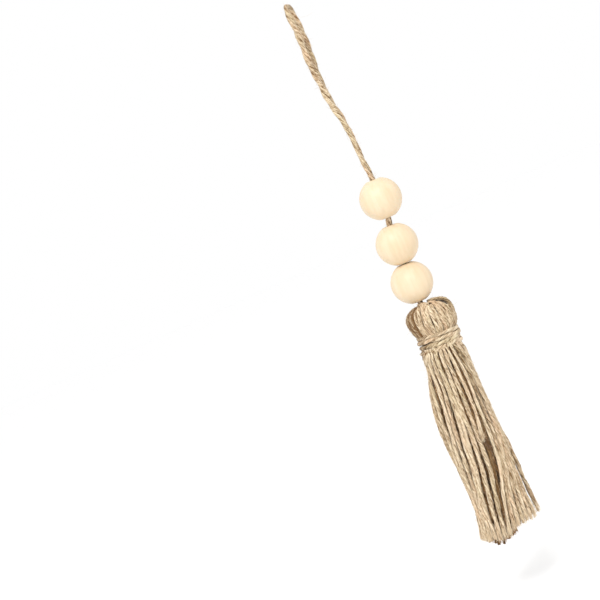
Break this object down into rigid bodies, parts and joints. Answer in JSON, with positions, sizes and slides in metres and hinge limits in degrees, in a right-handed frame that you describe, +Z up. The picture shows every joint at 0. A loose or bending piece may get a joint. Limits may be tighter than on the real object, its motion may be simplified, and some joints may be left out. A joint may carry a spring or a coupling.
{
  "type": "jute twine tassel with wooden beads",
  "caption": "Hanging tassel of jute twine: a folded bundle bound at the neck, with round wooden beads strung above it on a twine loop.",
  "frame": {"origin": "hanging point: the inside of the loop's crown, where a hook or nail bears", "axes": "+Z up along the hang line, X to the right, -Y the front"},
  "size_m": [0.0258, 0.0242, 0.2131],
  "materials": {
    "jute": "coarse, matt, hairy two-ply twine, undyed straw brown",
    "wood": "smooth sanded bare wood, pale cream, no varnish"
  },
  "bodies": {
    "root": {"hanging_loop": "jute", "bead_upper": "wood", "bead_middle": "wood", "bead_lower": "wood", "neck_binding": "jute", "tassel": "jute"}
  },
  "joints": []
}
